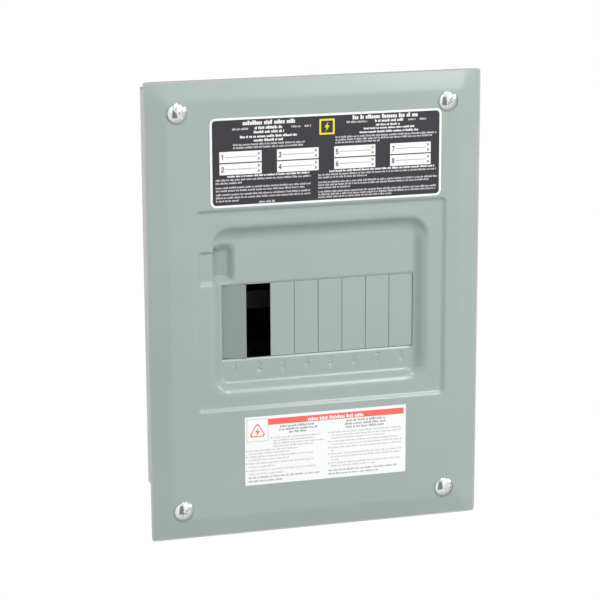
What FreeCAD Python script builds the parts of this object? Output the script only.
import FreeCAD, Part
import math
import os

# Residential load center: flush indoor box, one row of eight breaker spaces, two bus bars.
# Millimetres. Origin at the centre of the box's back face. +Z is up and -Y is the front.

# ---- sheet metal box ----
SHEET = 1.2
BOX_W = 227.0
BOX_H = 321.0
BOX_D = 96.0
BOX_BEND = 2.4
FLANGE = 12.0
KNOCKOUT_GAP = 0.5
TIE_WIDTH = 2.4
MOUNT_HOLE_X = 90.0
MOUNT_HOLE_Z = 132.0
MOUNT_HOLE_R = 3.2
STUD_HOLE_Y = -72.0
STUD_HOLE_Z = 128.0

# ---- cover stamping ----
COVER_W = 263.0
COVER_H = 356.0
COVER_SHIFT = 1.0
COVER_CORNER = 2.5
LIP = 0.8
BORDER = 16.0
MITRE_CORNER = 1.2
BORDER_BEND = 6.0
RING_BEND = 1.6
DEEP_BEND = 9.5
FLOOR_BEND = 3.6
BACK_OF_RIM = -BOX_D
RIM_Y = BACK_OF_RIM - SHEET
FACE_Y = -100.5
RING_Y = -98.5
FLOOR_Y = -92.0
RING_BOX = (-93.2, 105.2, -77.7, 80.4)
RING_RAMP = 2.9
RING_CORNER = 4.6
DEEP_BOX = (-79.2, 88.8, -62.0, 63.4)
DEEP_CORNER = 15.3
FLOOR_BOX = (-73.3, 82.9, -56.1, 57.5)
FLOOR_CORNER = 9.4
SHELF_BOX = (-91.0, -74.0, 21.5, 48.0)
SHELF_CORNER = 3.0
SHELF_RAMP = 1.2
SHELF_BEND = 0.7
SHELF_Y = -96.2
WELL_BOX = (-80.4, -55.5, 24.0, 54.5)
WELL_CORNER = 8.5
WELL_RAMP = 5.0
WELL_BEND = 2.0
WELL_Y = -85.0

# ---- breaker spaces ----
SPACES = 8
PITCH = 19.05
SPACE_X0 = -71.5
SLOT_Z0 = -38.7
SLOT_Z1 = 19.5
SLOT_SIDE_GAP = 0.2
WINDOW_RAMP = 1.8
WINDOW_Y = -91.3
PLATE_W = 18.8
PLATE_GAP = 0.25
PLATE_FRONT_Y = WINDOW_Y
NIB_GAP = 0.1
NIB_W = 2.0
MISSING_PLATE = 2
TILTED_PLATE = 1
TILT_DEG = 10.0
NUMERAL_Z = -45.6
NUMERAL_H = 5.6
NUMERAL_STROKE = 0.9
NUMERAL_DEPTH = 0.35

# ---- cover screws ----
COVER_SCREW_X = 105.6
COVER_SCREW_Z = 154.6
SCREW_HEAD_R = 7.6
SCREW_HEAD_H = 3.6
SCREW_SKIRT = 1.2
SCREW_EDGE_R = 0.8
SLOT_WIDTH = 1.1
SLOT_DEPTH = 1.1
CROSS_SPAN = 3.6
CROSS_DEPTH = 1.6
SCREW_SHANK_R = 2.0
SCREW_LENGTH = 13.0
SCREW_TIP = 2.0
SCREW_TIP_R = 0.8
COVER_HOLE_R = 2.5
SLOT_ANGLES = {"top_left": -48.0, "top_right": 65.0, "bottom_left": 42.0, "bottom_right": 25.0}

# ---- labels ----
LABEL_T = 0.2
DIRECTORY_BOX = (-81.4, 100.3, 81.7, 149.4)
DIRECTORY_CORNER = 4.5
WARNING_BOX = (-56.9, 73.2, -138.5, -83.5)

# ---- interior ----
PAN_BOX = (-80.0, 90.0, -115.0, 95.0)
PAN_BACK_Y = -12.0
BASE_BOX = (-76.0, 86.0, -66.0, 60.0)
BASE_T = 4.0
BUS_T = 2.5
BUS_BACK_Y = -25.2
STAB_Z = 12.0
STAB_FRONT_Y = -46.0
STAB_W = 12.0
FINGER_W = 10.0
LUG_W = 20.0
LUG_H = 26.0
LUG_D = 22.0
LUG_Z = 66.0
LUG_A_X = -56.0
LUG_B_X = 73.0
WIRE_R = 6.0
SET_SCREW_R = 4.7
SET_HOLE_R = 5.0
SET_SCREW_LENGTH = 8.6
NEUTRAL_Z = -95.0
NEUTRAL_X0 = -58.0
NEUTRAL_X1 = 80.0
NEUTRAL_SIZE = 12.0
NEUTRAL_BACK_Y = -28.0
GROUND_Z = -141.0
GROUND_X0 = -74.0
GROUND_X1 = 26.0
GROUND_SIZE = 10.0

BACK_Y = -SHEET
PAN_FRONT_Y = PAN_BACK_Y - SHEET
BASE_FRONT_Y = PAN_FRONT_Y - BASE_T
BUS_FRONT_Y = BUS_BACK_Y - BUS_T
PLATE_AXIS_Y = PLATE_FRONT_Y + SHEET / 2


def space_x(number):
    """Centre of a breaker space, counted from 1 at the left."""
    return SPACE_X0 + PITCH * (number - 0.5)


def block(x0, x1, y0, y1, z0, z1):
    """Box between the given limits."""
    low = FreeCAD.Vector(min(x0, x1), min(y0, y1), min(z0, z1))
    return Part.makeBox(abs(x1 - x0), abs(y1 - y0), abs(z1 - z0), low)


def rod(axis, x, y, z, radius, length):
    """Cylinder that starts at the point and runs along the axis."""
    return Part.makeCylinder(radius, length, FreeCAD.Vector(x, y, z), FreeCAD.Vector(*axis))


def join(solids):
    """One solid out of several that meet."""
    first = solids[0]
    if len(solids) == 1:
        return first
    return first.fuse(solids[1:]).removeSplitter()


def arc_edge(cx, cz, r, start_deg, y):
    """Quarter circle in the plane at y, turning from start_deg."""
    points = []
    for k in range(3):
        a = math.radians(start_deg + 45 * k)
        points.append(FreeCAD.Vector(cx + r * math.cos(a), y, cz + r * math.sin(a)))
    return Part.Arc(*points).toShape(), points


def outline(box, corner, y):
    """Rounded rectangle in the plane at y, as a closed wire."""
    x0, x1, z0, z1 = box
    centres = [(x1 - corner, z1 - corner, 0), (x0 + corner, z1 - corner, 90),
               (x0 + corner, z0 + corner, 180), (x1 - corner, z0 + corner, 270)]
    arcs = [arc_edge(cx, cz, corner, a, y) for cx, cz, a in centres]
    edges = []
    for k in range(4):
        edges.append(arcs[k][0])
        edges.append(Part.makeLine(arcs[k][1][2], arcs[(k + 1) % 4][1][0]))
    return Part.Wire(edges)


def grow(box, by):
    """The same rectangle, wider by the given amount on every side."""
    return (box[0] - by, box[1] + by, box[2] - by, box[3] + by)


def slab(box, corner, y0, y1):
    """Rounded plate between two planes."""
    return Part.Face(outline(box, corner, y0)).extrude(FreeCAD.Vector(0, y1 - y0, 0))


def taper(box_a, corner_a, y_a, box_b, corner_b, y_b):
    """Solid that runs straight from one rounded outline to another."""
    return Part.makeLoft([outline(box_a, corner_a, y_a), outline(box_b, corner_b, y_b)], True, True)


def edges_at(shape, y, inside=None):
    """Edges that lie in the plane at y, within a rectangle if one is given."""
    found = []
    for edge in shape.Edges:
        bb = edge.BoundBox
        if abs(bb.YMin - y) > 1e-4 or abs(bb.YMax - y) > 1e-4:
            continue
        if inside and not (inside[0] < bb.XMin and bb.XMax < inside[1]
                           and inside[2] < bb.ZMin and bb.ZMax < inside[3]):
            continue
        found.append(edge)
    return found


def export(name, shape):
    """Write one node."""
    if not shape.isValid():
        raise ValueError(name + " is not a valid solid")
    shape.exportStep("parts/" + name + ".step")
    size = shape.BoundBox
    print(name, len(shape.Solids), round(shape.Volume, 1),
          [round(v, 2) for v in (size.XMin, size.XMax, size.YMin, size.YMax, size.ZMin, size.ZMax)])


# ---- numerals ----

def line_stroke(a, b):
    """Straight stroke with round ends, drawn flat in X and Y."""
    half = NUMERAL_STROKE / 2
    length = math.hypot(b[0] - a[0], b[1] - a[1])
    bar = Part.makeBox(length, 2 * half, 1.0, FreeCAD.Vector(0, -half, 0))
    ends = [Part.makeCylinder(half, 1.0), Part.makeCylinder(half, 1.0, FreeCAD.Vector(length, 0, 0))]
    stroke = bar.fuse(ends)
    stroke.rotate(FreeCAD.Vector(), FreeCAD.Vector(0, 0, 1),
                  math.degrees(math.atan2(b[1] - a[1], b[0] - a[0])))
    stroke.translate(FreeCAD.Vector(a[0], a[1], 0))
    return stroke


def arc_stroke(centre, radius, start, sweep):
    """Curved stroke, drawn flat in X and Y."""
    half = NUMERAL_STROKE / 2
    axis = FreeCAD.Vector(0, 0, 1)
    outer = Part.makeCylinder(radius + half, 1.0, FreeCAD.Vector(), axis, sweep)
    inner = Part.makeCylinder(radius - half, 1.0)
    stroke = outer.cut(inner)
    stroke.rotate(FreeCAD.Vector(), axis, start)
    stroke.translate(FreeCAD.Vector(centre[0], centre[1], 0))
    return stroke


def numeral_strokes(number):
    """Strokes of one numeral, about its own centre."""
    h = NUMERAL_H / 2
    small = 1.3
    big = 1.5
    if number == 1:
        return [line_stroke((0.3, -h), (0.3, h)), line_stroke((0.3, h), (-0.9, h - 1.0))]
    if number == 2:
        return [arc_stroke((0, h - big), big, -35, 200), line_stroke((1.2, h - 2.4), (-1.5, -h)),
                line_stroke((-1.5, -h), (1.6, -h))]
    if number == 3:
        return [arc_stroke((0, h - small), small, -90, 240), arc_stroke((0, big - h), big, -150, 240)]
    if number == 4:
        return [line_stroke((0.8, -h), (0.8, h)), line_stroke((0.8, h), (-1.6, -1.0)),
                line_stroke((-1.6, -1.0), (1.7, -1.0))]
    if number == 5:
        return [line_stroke((1.4, h), (-1.2, h)), line_stroke((-1.2, h), (-1.3, 0.1)),
                arc_stroke((0, big - h), big, -150, 300)]
    if number == 6:
        return [arc_stroke((0, big - h), big, 0, 360), line_stroke((-1.5, big - h), (-1.1, 1.0)),
                line_stroke((-1.1, 1.0), (0.7, h))]
    if number == 7:
        return [line_stroke((-1.5, h), (1.5, h)), line_stroke((1.5, h), (-0.5, -h))]
    return [arc_stroke((0, h - small), small, 0, 360), arc_stroke((0, big - h), big, 0, 360)]


def numeral(number):
    """Cutter for one numeral, standing in the recess floor under its space."""
    cutter = join(numeral_strokes(number))
    cutter.rotate(FreeCAD.Vector(), FreeCAD.Vector(1, 0, 0), 90)
    cutter.translate(FreeCAD.Vector(space_x(number), FLOOR_Y + NUMERAL_DEPTH, NUMERAL_Z))
    return cutter


# ---- cover ----

def cover_outline(inset):
    """Cover rectangle, smaller by the inset on every side."""
    half_w = COVER_W / 2 - inset
    half_h = COVER_H / 2 - inset
    return (COVER_SHIFT - half_w, COVER_SHIFT + half_w, -half_h, half_h)


def pocket(box, corner, slope_run, bend, floor_y):
    """Tapered pocket that opens through the ring and has a rounded floor edge."""
    shape = taper(box, corner, RING_Y - 0.5, grow(box, -slope_run), corner - slope_run, floor_y)
    return shape.makeFillet(bend, edges_at(shape, floor_y))


def opening_box():
    """Limits of the breaker opening in X and Z."""
    return (SPACE_X0 - SLOT_SIDE_GAP, SPACE_X0 + SPACES * PITCH + SLOT_SIDE_GAP, SLOT_Z0, SLOT_Z1)


def air_in_front():
    """Everything in front of the cover's painted surface, with the radius of every bend."""
    room = block(-200, 200, -160, RIM_Y, -240, 240)
    face = cover_outline(BORDER)
    raised = taper(cover_outline(LIP), COVER_CORNER, RIM_Y, face, MITRE_CORNER, FACE_Y)
    raised = raised.makeFillet(BORDER_BEND, edges_at(raised, FACE_Y))
    ring_floor = grow(RING_BOX, -RING_RAMP)
    ring = taper(grow(RING_BOX, RING_RAMP), RING_CORNER + RING_RAMP, 2 * FACE_Y - RING_Y,
                 ring_floor, RING_CORNER - RING_RAMP, RING_Y)
    ring = ring.makeFillet(RING_BEND, edges_at(ring, RING_Y))
    deep = taper(DEEP_BOX, DEEP_CORNER, RING_Y, FLOOR_BOX, FLOOR_CORNER, FLOOR_Y)
    deep = deep.makeFillet(FLOOR_BEND, edges_at(deep, FLOOR_Y))
    air = room.cut(raised).fuse(ring).removeSplitter()
    air = air.makeFillet(RING_BEND, edges_at(air, FACE_Y, grow(RING_BOX, 0.5)))
    air = air.fuse(deep).removeSplitter()
    air = air.makeFillet(DEEP_BEND, edges_at(air, RING_Y, grow(DEEP_BOX, 0.5)))
    shelf = pocket(SHELF_BOX, SHELF_CORNER, SHELF_RAMP, SHELF_BEND, SHELF_Y)
    well = pocket(WELL_BOX, WELL_CORNER, WELL_RAMP, WELL_BEND, WELL_Y)
    window = taper(grow(opening_box(), WINDOW_RAMP), 2.0, FLOOR_Y, opening_box(), 0.5, WINDOW_Y)
    return air.fuse([shelf, well, window]).removeSplitter()


def make_cover():
    """One drawn sheet with the recess, the breaker opening and the numerals."""
    air = air_in_front()
    behind = air.copy()
    behind.translate(FreeCAD.Vector(0, SHEET, 0))
    sheet = behind.cut(air)
    sheet = sheet.common(slab(cover_outline(0), COVER_CORNER, -150, -60))
    x0, x1, z0, z1 = opening_box()
    opening = block(x0, x1, FLOOR_Y - 2, FLOOR_Y + 6, z0, z1)
    cutters = [opening] + [numeral(k + 1) for k in range(SPACES)]
    for sx in (-1, 1):
        for sz in (-1, 1):
            cutters.append(rod((0, 1, 0), sx * COVER_SCREW_X, FACE_Y - 5, sz * COVER_SCREW_Z,
                               COVER_HOLE_R, 12))
    return sheet.cut(cutters)


def make_plate(number):
    """Twist-out plate with a tie nib at the middle of its top and bottom edges."""
    x = space_x(number)
    half = PLATE_W / 2
    body = block(x - half, x + half, PLATE_FRONT_Y, PLATE_FRONT_Y + SHEET,
                 SLOT_Z0 + PLATE_GAP, SLOT_Z1 - PLATE_GAP)
    body = body.makeFillet(0.3, edges_at(body, PLATE_FRONT_Y))
    nib = block(x - NIB_W / 2, x + NIB_W / 2, PLATE_FRONT_Y + 0.2, PLATE_FRONT_Y + SHEET - 0.2,
                SLOT_Z0 + NIB_GAP, SLOT_Z1 - NIB_GAP)
    plate = join([body, nib])
    if number == TILTED_PLATE:
        plate.rotate(FreeCAD.Vector(x, PLATE_AXIS_Y, 0), FreeCAD.Vector(0, 0, 1), -TILT_DEG)
    return plate


def make_cover_screw(x, z, slot_deg):
    """Truss-head screw with a slot and a cross recess, driven along +Y."""
    crown = FACE_Y - SCREW_HEAD_H
    rise = SCREW_HEAD_H - SCREW_SKIRT
    dome_r = (SCREW_HEAD_R ** 2 + rise ** 2) / (2 * rise)
    ball = Part.makeSphere(dome_r, FreeCAD.Vector(x, crown + dome_r, z))
    head = ball.common(rod((0, 1, 0), x, crown, z, SCREW_HEAD_R, SCREW_HEAD_H))
    head = head.makeFillet(SCREW_EDGE_R, edges_at(head, FACE_Y - SCREW_SKIRT))
    tip_y = FACE_Y + SCREW_LENGTH
    point = Part.makeCone(SCREW_SHANK_R, SCREW_TIP_R, SCREW_TIP, FreeCAD.Vector(x, tip_y - SCREW_TIP, z),
                          FreeCAD.Vector(0, 1, 0))
    shank = rod((0, 1, 0), x, FACE_Y - SCREW_SKIRT, z, SCREW_SHANK_R, SCREW_LENGTH - SCREW_TIP + SCREW_SKIRT)
    screw = join([head, shank, point])
    half = SLOT_WIDTH / 2
    arm = CROSS_SPAN / 2
    slot = block(x - SCREW_HEAD_R, x + SCREW_HEAD_R, crown - 1, crown + SLOT_DEPTH, z - half, z + half)
    across = block(x - arm, x + arm, crown - 1, crown + CROSS_DEPTH, z - half, z + half)
    upright = block(x - half, x + half, crown - 1, crown + CROSS_DEPTH, z - arm, z + arm)
    screw = screw.cut([slot, across, upright])
    screw.rotate(FreeCAD.Vector(x, 0, z), FreeCAD.Vector(0, 1, 0), -slot_deg)
    return screw


# ---- box ----

def knockout(axis, x, y, z, radius):
    """Ring-shaped cut round a conduit knockout, left whole at two ties."""
    start = FreeCAD.Vector(x, y, z) - FreeCAD.Vector(*axis) * 3
    outer = Part.makeCylinder(radius, 6, start, FreeCAD.Vector(*axis))
    inner = Part.makeCylinder(radius - KNOCKOUT_GAP, 6, start, FreeCAD.Vector(*axis))
    half = TIE_WIDTH / 2
    span = radius + 2
    if axis[2]:
        tie = block(x - span, x + span, y - half, y + half, z - 4, z + 4)
    elif axis[0]:
        tie = block(x - 4, x + 4, y - half, y + half, z - span, z + span)
    else:
        tie = block(x - span, x + span, y - 4, y + 4, z - half, z + half)
    return outer.cut(inner).cut(tie)


def make_wrapper():
    """Back and both sides, bent from one sheet."""
    w = BOX_W / 2
    h = BOX_H / 2
    outside = block(-w, w, -BOX_D, 0, -h, h)
    corners = [e for e in outside.Edges
               if abs(e.BoundBox.YMin) < 1e-6 and abs(e.BoundBox.YMax) < 1e-6 and e.BoundBox.ZLength > 10]
    outside = outside.makeFillet(BOX_BEND, corners)
    inside = block(-w + SHEET, w - SHEET, -BOX_D - 1, -SHEET, -h - 1, h + 1)
    corners = [e for e in inside.Edges
               if abs(e.BoundBox.YMin + SHEET) < 1e-6 and abs(e.BoundBox.YMax + SHEET) < 1e-6
               and e.BoundBox.ZLength > 10]
    inside = inside.makeFillet(BOX_BEND - SHEET, corners)
    wrapper = outside.cut(inside)
    cuts = []
    for sx in (-1, 1):
        for z in (-120.0, 118.0):
            cuts.append(knockout((1, 0, 0), sx * w, -38.0, z, 11.2))
        for sz in (-1, 1):
            cuts.append(rod((0, 1, 0), sx * MOUNT_HOLE_X, -5, sz * MOUNT_HOLE_Z, MOUNT_HOLE_R, 10))
            cuts.append(rod((1, 0, 0), sx * w - 5, STUD_HOLE_Y, sz * STUD_HOLE_Z, 2.4, 10))
    for x in (-60.0, 60.0):
        cuts.append(knockout((0, 1, 0), x, 0, 122.0, 11.2))
    return wrapper.cut(cuts)


def screw_tab(sx):
    """Corner tab that takes a cover screw, folded down from the end wall."""
    x = sx * COVER_SCREW_X
    h = BOX_H / 2
    inner = sx * (BOX_W / 2 - SHEET)
    plate = block(x - sx * 9.0, inner, -BOX_D + 1.0, -BOX_D + 2.2, h - 14.0, h - SHEET)
    return plate


def make_end_wall(side):
    """Top (+1) or bottom (-1) wall with side and back flanges, tabs and knockouts."""
    h = BOX_H / 2
    w = BOX_W / 2 - SHEET
    corner = BOX_BEND - SHEET
    pieces = [block(-w, w, -BOX_D, -SHEET, h - SHEET, h)]
    for sx in (-1, 1):
        pieces.append(block(sx * w, sx * (w - SHEET), -BOX_D + 4.0, -SHEET - corner - 1.0, h - FLANGE, h))
        pieces.append(screw_tab(sx))
    pieces.append(block(-w + 6, w - 6, -SHEET, -2 * SHEET, h - FLANGE, h))
    wall = join(pieces)
    for sx in (-1, 1):
        wall = wall.cut(block(sx * w - 3, sx * w + 3, -SHEET - corner - 1.0, 1.0, h - 20, h + 1))
    cuts = []
    for x, radius in ((-72.0, 11.2), (-24.0, 14.2), (30.0, 17.4), (80.0, 11.2)):
        cuts.append(knockout((0, 0, 1), x, -48.0, h - SHEET / 2, radius))
    cuts.append(knockout((0, 0, 1), 30.0, -48.0, h - SHEET / 2, 11.2))
    for sx in (-1, 1):
        cuts.append(rod((0, 1, 0), sx * COVER_SCREW_X, -BOX_D - 2, COVER_SCREW_Z, COVER_HOLE_R + 0.2, 8))
    wall = wall.cut(cuts)
    if side < 0:
        wall = wall.mirror(FreeCAD.Vector(), FreeCAD.Vector(0, 0, 1))
    return wall


# ---- interior ----

def make_pan():
    """Steel pan that carries the base and the neutral bar clear of the back."""
    x0, x1, z0, z1 = PAN_BOX
    pieces = [block(x0, x1, PAN_FRONT_Y, PAN_BACK_Y, z0, z1)]
    for edge, out in ((x0, -1), (x1, 1)):
        pieces.append(block(edge, edge - out * SHEET, PAN_FRONT_Y, BACK_Y, z0, z1))
        for z in (z0 + 20, z1 - 20):
            pieces.append(block(edge - out * SHEET, edge + out * 12, BACK_Y - SHEET, BACK_Y, z - 8, z + 8))
    pan = join(pieces)
    cuts = []
    for x in (x0 - 7, x1 + 7):
        for z in (z0 + 20, z1 - 20):
            cuts.append(rod((0, 1, 0), x, -6, z, 2.2, 10))
    cuts.append(slab((x0 + 30, x1 - 30, 66.0, 84.0), 4.0, PAN_FRONT_Y - 1, PAN_BACK_Y + 1))
    return pan.cut(cuts)


def small_screw(x, y, z, head_r, head_h, shank_r, length):
    """Pan-head screw seated at y and driven along +Y, with a slot."""
    screw = join([rod((0, 1, 0), x, y - head_h, z, head_r, head_h), rod((0, 1, 0), x, y, z, shank_r, length)])
    return screw.cut(block(x - head_r - 1, x + head_r + 1, y - head_h - 1, y - head_h * 0.5, z - 0.5, z + 0.5))


def group(shapes):
    """Several separate solids in one node."""
    return Part.makeCompound(shapes)


def make_pan_screws():
    """The four screws through the feet of the pan."""
    x0, x1, z0, z1 = PAN_BOX
    screws = []
    for x in (x0 - 7, x1 + 7):
        for z in (z0 + 20, z1 - 20):
            screws.append(small_screw(x, BACK_Y - SHEET, z, 4.0, 2.2, 2.0, SHEET))
    return group(screws)


def make_base():
    """Moulded insulating base with rails under the bars and barriers between the stabs."""
    x0, x1, z0, z1 = BASE_BOX
    pieces = [slab(BASE_BOX, 5.0, BASE_FRONT_Y, PAN_FRONT_Y)]
    pieces.append(block(x0 + 3, space_x(7) + 8, BUS_BACK_Y, BASE_FRONT_Y, 30, 40))
    pieces.append(block(x0 + 8, x1 - 1, BUS_BACK_Y, BASE_FRONT_Y, -14, -4))
    for x in (LUG_A_X, LUG_B_X):
        pieces.append(block(x - 8, x + 8, BUS_BACK_Y, BASE_FRONT_Y, 46, 58))
    for k in range(1, SPACES):
        x = SPACE_X0 + PITCH * k
        pieces.append(block(x - 0.8, x + 0.8, STAB_FRONT_Y + 4, BASE_FRONT_Y, 4, 24))
    return join(pieces)


def stab(number, z_from):
    """Finger from a bar to the stab row, with the blade that a breaker plugs onto."""
    x = space_x(number)
    finger = block(x - FINGER_W / 2, x + FINGER_W / 2, BUS_FRONT_Y, BUS_BACK_Y, z_from, STAB_Z)
    blade = block(x - STAB_W / 2, x + STAB_W / 2, STAB_FRONT_Y, BUS_BACK_Y, STAB_Z, STAB_Z + BUS_T)
    return [finger, blade]


def make_bus(first, bar_z, bar_x, riser_x, z_from):
    """Bar, its riser to the main lug, and a stab for every second space."""
    pieces = [block(bar_x[0], bar_x[1], BUS_FRONT_Y, BUS_BACK_Y, bar_z[0], bar_z[1])]
    pieces.append(block(riser_x[0], riser_x[1], BUS_FRONT_Y, BUS_BACK_Y, bar_z[0], LUG_Z + LUG_H))
    for number in range(first, SPACES + 1, 2):
        pieces += stab(number, z_from)
    return join(pieces)


def make_rail():
    """Steel rail with a hook for the foot of each breaker."""
    x0 = SPACE_X0
    x1 = SPACE_X0 + SPACES * PITCH
    pieces = [block(x0, x1, BASE_FRONT_Y - 1.6, BASE_FRONT_Y, -60, -46),
              block(x0, x1, -38.0, BASE_FRONT_Y - 1.6, -60, -58.4)]
    for k in range(SPACES):
        x = space_x(k + 1)
        pieces.append(block(x - 5, x + 5, -39.6, -38.0, -60, -51))
    return join(pieces)


def make_lug(x, z, y_back):
    """Aluminium lug with a wire way along Z and a set-screw hole in front."""
    lug = block(x - LUG_W / 2, x + LUG_W / 2, y_back - LUG_D, y_back, z, z + LUG_H)
    corners = [e for e in lug.Edges if e.BoundBox.YLength > LUG_D - 1e-6]
    lug = lug.makeFillet(1.5, corners)
    wire_y = y_back - 4.0 - WIRE_R
    wire = rod((0, 0, 1), x, wire_y, z - 1, WIRE_R, LUG_H + 2)
    hole = rod((0, 1, 0), x, y_back - LUG_D - 1, z + LUG_H / 2, SET_HOLE_R, LUG_D - 8)
    return lug.cut([wire, hole])


def make_set_screw(x, z, y_back):
    """Slotted set screw, backed off until its tip clears the wire way."""
    front = y_back - LUG_D - 3.0
    screw = rod((0, 1, 0), x, front, z + LUG_H / 2, SET_SCREW_R, SET_SCREW_LENGTH)
    ends = [e for e in screw.Edges if abs(e.BoundBox.YMin - front) < 1e-5 and e.BoundBox.YLength < 1e-5]
    screw = screw.makeChamfer(0.6, ends)
    slot = block(x - 6, x + 6, front - 1, front + 2.2, z + LUG_H / 2 - 0.8, z + LUG_H / 2 + 0.8)
    return screw.cut(slot)


def bar_screw_xs(x0, x1, count):
    """Even spacing of terminal screws along a bar."""
    step = (x1 - x0) / count
    return [x0 + step * (k + 0.5) for k in range(count)]


def make_terminal_bar(x0, x1, z, y_back, size, count, fixings):
    """Bar with wire holes along Z, screw holes along Y and clear holes for its fixings."""
    bar = block(x0, x1, y_back - size, y_back, z - size / 2, z + size / 2)
    cuts = []
    for x in bar_screw_xs(x0, x1, count):
        if x in fixings:
            cuts.append(rod((0, 1, 0), x, y_back - size - 1, z, 2.3, size + 2))
            continue
        cuts.append(rod((0, 0, 1), x, y_back - size * 0.36, z - size, 2.2, 2 * size))
        cuts.append(rod((0, 1, 0), x, y_back - size - 1, z, 2.5, size * 0.64 + 1))
    return bar.cut(cuts)


def make_terminal_screws(x0, x1, z, y_back, size, count, fixings):
    """Terminal screws of one bar, as separate solids in one node."""
    screws = []
    for x in bar_screw_xs(x0, x1, count):
        if x not in fixings:
            screws.append(small_screw(x, y_back - size - 1.0, z, 3.6, 1.8, 2.4, 4.0))
    return group(screws)


def make_strap():
    """Bonding strap from the back of the neutral bar to the back of the box."""
    pieces = [block(62, 74, NEUTRAL_BACK_Y, NEUTRAL_BACK_Y + 1.2, -126, NEUTRAL_Z - 2),
              block(62, 74, NEUTRAL_BACK_Y, BACK_Y, -126, -124.8),
              block(62, 74, BACK_Y - 1.2, BACK_Y, -140, -124.8)]
    strap = join(pieces)
    return strap.cut(rod((0, 1, 0), 68, -6, -133, 2.3, 10))


def main():
    os.makedirs("parts", exist_ok=True)
    bus_a = make_bus(1, (28, 42), (-69, space_x(7) + 6), (LUG_A_X - 9, LUG_A_X + 9), 28)
    bus_b = make_bus(2, (-16, -2), (-48, LUG_B_X + 8), (LUG_B_X - 8, LUG_B_X + 8), -2)
    neutral = (NEUTRAL_X0, NEUTRAL_X1, NEUTRAL_Z, NEUTRAL_BACK_Y, NEUTRAL_SIZE, 12)
    ground = (GROUND_X0, GROUND_X1, GROUND_Z, BACK_Y, GROUND_SIZE, 10)
    ground_xs = bar_screw_xs(GROUND_X0, GROUND_X1, 10)
    ground_fixings = [ground_xs[1], ground_xs[8]]
    neutral_lug_x = NEUTRAL_X0 - LUG_W / 2
    neutral_lug_z = NEUTRAL_Z - LUG_H / 2

    export("enclosure_wrapper", make_wrapper())
    export("top_end_wall", make_end_wall(1))
    export("bottom_end_wall", make_end_wall(-1))
    export("interior_pan", make_pan())
    export("pan_screws", make_pan_screws())
    export("insulating_base", make_base())
    export("bus_bar_a", bus_a)
    export("bus_bar_b", bus_b)
    export("breaker_rail", make_rail())
    export("main_lug_a", make_lug(LUG_A_X, LUG_Z, BUS_FRONT_Y))
    export("main_lug_b", make_lug(LUG_B_X, LUG_Z, BUS_FRONT_Y))
    export("main_lug_screw_a", make_set_screw(LUG_A_X, LUG_Z, BUS_FRONT_Y))
    export("main_lug_screw_b", make_set_screw(LUG_B_X, LUG_Z, BUS_FRONT_Y))
    export("neutral_bar", make_terminal_bar(*neutral, []))
    export("neutral_terminal_screws", make_terminal_screws(*neutral, []))
    for name, x in (("neutral_support_left", -46.0), ("neutral_support_right", 46.0)):
        export(name, block(x - 7, x + 7, NEUTRAL_BACK_Y, PAN_FRONT_Y, NEUTRAL_Z - 8, NEUTRAL_Z + 8))
    export("neutral_lug", make_lug(neutral_lug_x, neutral_lug_z, NEUTRAL_BACK_Y))
    export("neutral_lug_screw", make_set_screw(neutral_lug_x, neutral_lug_z, NEUTRAL_BACK_Y))
    export("ground_bar", make_terminal_bar(*ground, ground_fixings))
    export("ground_terminal_screws", make_terminal_screws(*ground, ground_fixings))
    export("ground_bar_screws", group([
        small_screw(x, BACK_Y - GROUND_SIZE, GROUND_Z, 4.2, 2.2, 2.1, GROUND_SIZE)
        for x in ground_fixings]))
    export("bonding_strap", make_strap())
    export("bonding_screw", small_screw(68, BACK_Y - 1.2, -133, 4.6, 2.6, 2.1, 1.2))

    export("cover", make_cover())
    for number in range(1, SPACES + 1):
        if number != MISSING_PLATE:
            export("twist_out_" + str(number), make_plate(number))
    for sx, across in ((-1, "left"), (1, "right")):
        for sz, level in ((1, "top"), (-1, "bottom")):
            corner = level + "_" + across
            export("cover_screw_" + corner,
                   make_cover_screw(sx * COVER_SCREW_X, sz * COVER_SCREW_Z, SLOT_ANGLES[corner]))
    export("directory_label", slab(DIRECTORY_BOX, DIRECTORY_CORNER, FACE_Y - LABEL_T, FACE_Y))
    export("warning_label", slab(WARNING_BOX, 0.4, FACE_Y - LABEL_T, FACE_Y))


main()
